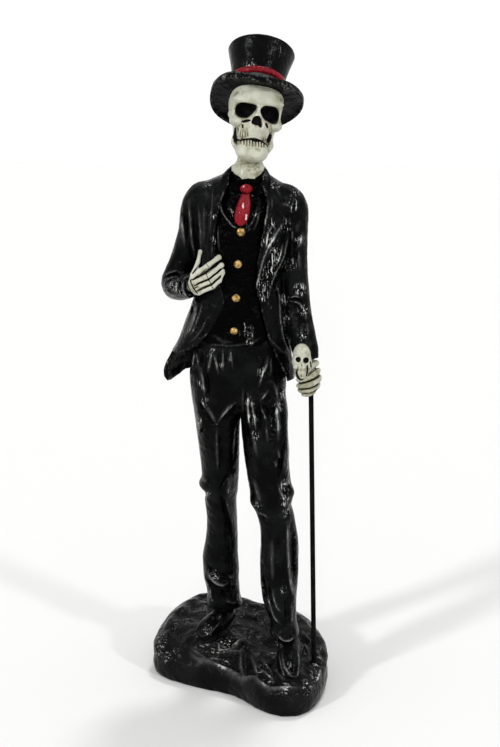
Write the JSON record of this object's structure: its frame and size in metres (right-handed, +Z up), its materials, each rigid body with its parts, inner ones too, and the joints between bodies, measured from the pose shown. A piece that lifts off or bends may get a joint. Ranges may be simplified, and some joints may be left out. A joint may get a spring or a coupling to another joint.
{
  "type": "umbanda spirit statue",
  "caption": "Cast figure of a standing skeleton in a top hat and open suit on a rocky mound, one hand on its chest, the other on a thin skull-headed cane; stands on a shelf by its own weight",
  "frame": {"origin": "Centre of the ground's plan box, on the table under it", "axes": "+Z up; -Y is the front of the ground; +X is the figure's left, at the viewer's right. The figure is turned 12 degrees to its left on the ground"},
  "size_m": [0.116, 0.117, 0.4023],
  "materials": {
    "painted_casting": "Gloss black lacquer over a resin casting; bone colour with a brown wash on the skull, neck, hands and cane knob, red on the tie and hat band, gold on the buttons",
    "black_rod": "Thin straight metal rod in semi-gloss black paint"
  },
  "bodies": {
    "root": {"figure": "painted_casting", "cane": "black_rod"}
  },
  "joints": []
}
